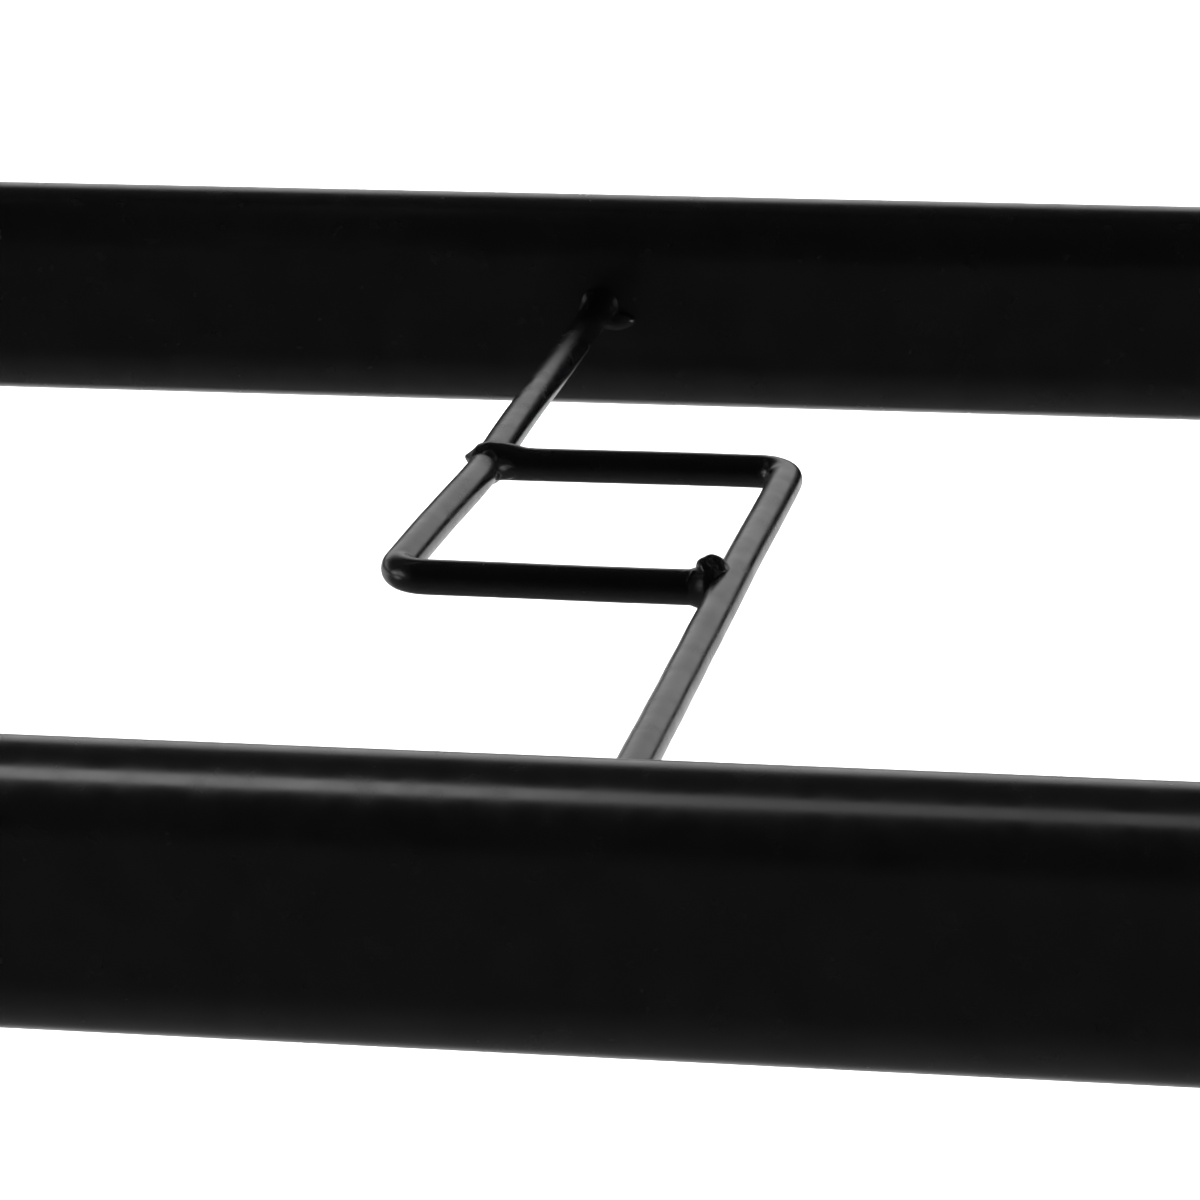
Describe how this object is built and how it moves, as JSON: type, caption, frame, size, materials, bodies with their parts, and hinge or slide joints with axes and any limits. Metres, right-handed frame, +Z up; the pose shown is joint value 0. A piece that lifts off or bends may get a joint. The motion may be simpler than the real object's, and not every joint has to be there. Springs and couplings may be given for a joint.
{
  "type": "folding luggage rack",
  "caption": "Folding luggage rack of black flat-oval steel tube: crossed leg frames on a pivot, webbing straps across the top and a bent-wire panel.",
  "frame": {"origin": "on the floor under the centre of the opened rack", "axes": "+Z up, X along the rails, +Y from the front rail (the one with the wire panel) to the rear rail"},
  "size_m": [0.605, 0.517, 0.5192],
  "materials": {
    "black_powder_coat": "satin-gloss powder coat with a fine orange peel",
    "webbing": "woven polyester webbing, matt",
    "black_plastic": "moulded, fine grain",
    "zinc_steel": "bright zinc plate",
    "nylon": "natural nylon"
  },
  "bodies": {
    "outer_frame": {"outer_leg_left": "black_powder_coat", "outer_leg_right": "black_powder_coat", "rear_top_rail": "black_powder_coat", "outer_stretcher": "black_powder_coat", "outer_frame_welds": "black_powder_coat", "rear_cap_left": "black_plastic", "rear_cap_right": "black_plastic", "outer_foot_left": "black_plastic", "outer_foot_right": "black_plastic", "pivot_bolt_left": "zinc_steel", "pivot_bolt_right": "zinc_steel", "cap_nut_left": "zinc_steel", "cap_nut_right": "zinc_steel", "flat_washer_left": "zinc_steel", "flat_washer_right": "zinc_steel", "spacer_washer_left": "nylon", "spacer_washer_right": "nylon", "outer_sleeve_left": "zinc_steel", "outer_sleeve_right": "zinc_steel", "strap_1": "webbing", "strap_2": "webbing", "strap_3": "webbing", "strap_4": "webbing"},
    "inner_frame": {"inner_leg_left": "black_powder_coat", "inner_leg_right": "black_powder_coat", "front_top_rail": "black_powder_coat", "second_rail": "black_powder_coat", "inner_stretcher": "black_powder_coat", "top_wire_left": "black_powder_coat", "top_wire_middle": "black_powder_coat", "top_wire_right": "black_powder_coat", "second_wire_left": "black_powder_coat", "second_wire_middle": "black_powder_coat", "second_wire_right": "black_powder_coat", "inner_frame_welds": "black_powder_coat", "wire_end_welds": "black_powder_coat", "wire_corner_welds": "black_powder_coat", "front_cap_left": "black_plastic", "front_cap_right": "black_plastic", "inner_foot_left": "black_plastic", "inner_foot_right": "black_plastic", "inner_bush_left": "nylon", "inner_bush_right": "nylon"}
  },
  "joints": [
    {"name": "fold", "type": "hinge", "parent": "outer_frame", "child": "inner_frame", "pos_m": [0, 0, 0.25232], "axis": [-1, 0, 0], "range_deg": [0, 78.5], "deforming": ["strap_1", "strap_2", "strap_3", "strap_4"]}
  ]
}
